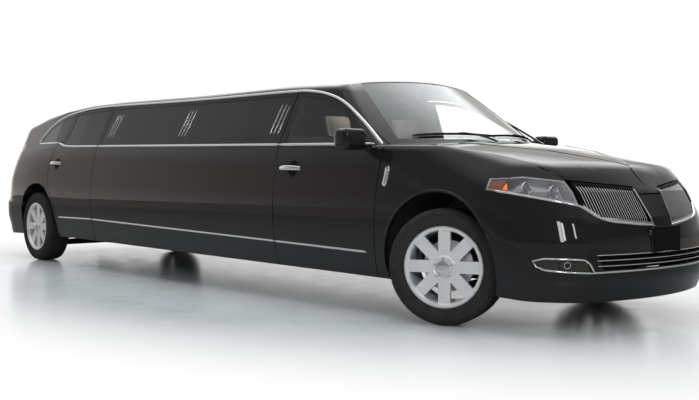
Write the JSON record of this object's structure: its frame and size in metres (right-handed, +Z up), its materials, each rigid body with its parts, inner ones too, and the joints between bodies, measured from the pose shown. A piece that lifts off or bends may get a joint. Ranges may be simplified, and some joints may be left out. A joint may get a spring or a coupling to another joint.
{
  "type": "stretch limousine",
  "caption": "Long black stretched car with hinged doors, bonnet and tailgate, steered front wheels, winged grille and a lounge cabin.",
  "frame": {"origin": "on the ground, midway along the length and the width", "axes": "+X towards the nose, +Y to the left, +Z up"},
  "size_m": [8.321, 2.33, 1.712],
  "materials": {
    "paint": "gloss",
    "clear_glass": "gloss",
    "dark_glass": "gloss",
    "dark_plastic": "matte",
    "bright_trim": "polished",
    "lamp_bowl": "polished",
    "red_lens": "gloss",
    "dark_metal": "satin",
    "engine_metal": "matte",
    "exhaust_steel": "satin",
    "cabin_plastic": "matte",
    "seat_leather": "satin",
    "cabin_wood": "gloss",
    "cast_metal": "matte",
    "tyre": "matte",
    "wheel_metal": "polished"
  },
  "bodies": {
    "body": {"roof": "paint", "windscreen": "clear_glass", "cowl": "dark_plastic", "fender_right": "paint", "fender_left": "paint", "front_bumper": "paint", "grille": "bright_trim", "lower_grille": "bright_trim", "headlamp_bowls": "lamp_bowl", "headlamp_lenses": "clear_glass", "fog_lamps": "lamp_bowl", "radiator_panel": "dark_plastic", "side_right": "paint", "side_left": "paint", "quarter_right": "paint", "quarter_left": "paint", "rear_bumper": "paint", "tail_lamps": "red_lens", "side_glass": "dark_glass", "arch_liners": "dark_plastic", "underbody": "dark_metal", "engine": "engine_metal", "front_crossmember": "dark_metal", "rear_axle": "dark_metal", "exhaust": "exhaust_steel", "dashboard": "cabin_plastic", "front_seats": "seat_leather", "cabin_seats": "seat_leather", "bar_and_partition": "cabin_wood"},
    "hood": {"hood": "paint"},
    "tailgate": {"tailgate": "paint", "tailgate_glass": "dark_glass"},
    "front_door_right": {"front_door_right": "paint", "front_door_glass_right": "clear_glass"},
    "rear_door_right": {"rear_door_right": "paint", "rear_door_glass_right": "dark_glass"},
    "knuckle_right": {"knuckle_right": "cast_metal"},
    "front_door_left": {"front_door_left": "paint", "front_door_glass_left": "clear_glass"},
    "rear_door_left": {"rear_door_left": "paint", "rear_door_glass_left": "dark_glass"},
    "knuckle_left": {"knuckle_left": "cast_metal"},
    "wheel_front_right": {"tyre_front_right": "tyre", "rim_front_right": "wheel_metal"},
    "wheel_front_left": {"tyre_front_left": "tyre", "rim_front_left": "wheel_metal"},
    "wheel_rear_right": {"tyre_rear_right": "tyre", "rim_rear_right": "wheel_metal"},
    "wheel_rear_left": {"tyre_rear_left": "tyre", "rim_rear_left": "wheel_metal"}
  },
  "joints": [
    {"name": "hood_hinge", "type": "hinge", "parent": "body", "child": "hood", "pos_m": [2.622, 0, 1.206], "axis": [0, -1, 0], "range_deg": [0, 60]},
    {"name": "tailgate_hinge", "type": "hinge", "parent": "body", "child": "tailgate", "pos_m": [-3.69, 0, 1.585], "axis": [0, 1, 0], "range_deg": [0, 80]},
    {"name": "front_door_right_hinge", "type": "hinge", "parent": "body", "child": "front_door_right", "pos_m": [2.584, -0.967, 0.7], "axis": [0, 0, 1], "range_deg": [0, 65]},
    {"name": "rear_door_right_hinge", "type": "hinge", "parent": "body", "child": "rear_door_right", "pos_m": [-1.618, -0.967, 0.7], "axis": [0, 0, 1], "range_deg": [0, 70]},
    {"name": "steer_right", "type": "hinge", "parent": "body", "child": "knuckle_right", "pos_m": [3.1, -0.8, 0.372], "axis": [0, 0, 1], "range_deg": [-61, 9]},
    {"name": "wheel_front_right_spin", "type": "hinge", "parent": "knuckle_right", "child": "wheel_front_right", "pos_m": [3.12104, -0.84314, 0.372], "axis": [-0.4384, 0.8988, 0], "continuous": true},
    {"name": "wheel_rear_right_spin", "type": "hinge", "parent": "body", "child": "wheel_rear_right", "pos_m": [-2.933, -0.848, 0.372], "axis": [0, 1, 0], "continuous": true},
    {"name": "front_door_left_hinge", "type": "hinge", "parent": "body", "child": "front_door_left", "pos_m": [2.584, 0.967, 0.7], "axis": [0, 0, -1], "range_deg": [0, 65]},
    {"name": "rear_door_left_hinge", "type": "hinge", "parent": "body", "child": "rear_door_left", "pos_m": [-1.618, 0.967, 0.7], "axis": [0, 0, -1], "range_deg": [0, 70]},
    {"name": "steer_left", "type": "hinge", "parent": "body", "child": "knuckle_left", "pos_m": [3.1, 0.8, 0.372], "axis": [0, 0, 1], "range_deg": [-61, 9]},
    {"name": "wheel_front_left_spin", "type": "hinge", "parent": "knuckle_left", "child": "wheel_front_left", "pos_m": [3.07896, 0.84314, 0.372], "axis": [-0.4384, 0.8988, 0], "continuous": true},
    {"name": "wheel_rear_left_spin", "type": "hinge", "parent": "body", "child": "wheel_rear_left", "pos_m": [-2.933, 0.848, 0.372], "axis": [0, 1, 0], "continuous": true}
  ],
  "couplings": [
    {"joint": "steer_left", "follows": "steer_right", "ratio": 1}
  ]
}
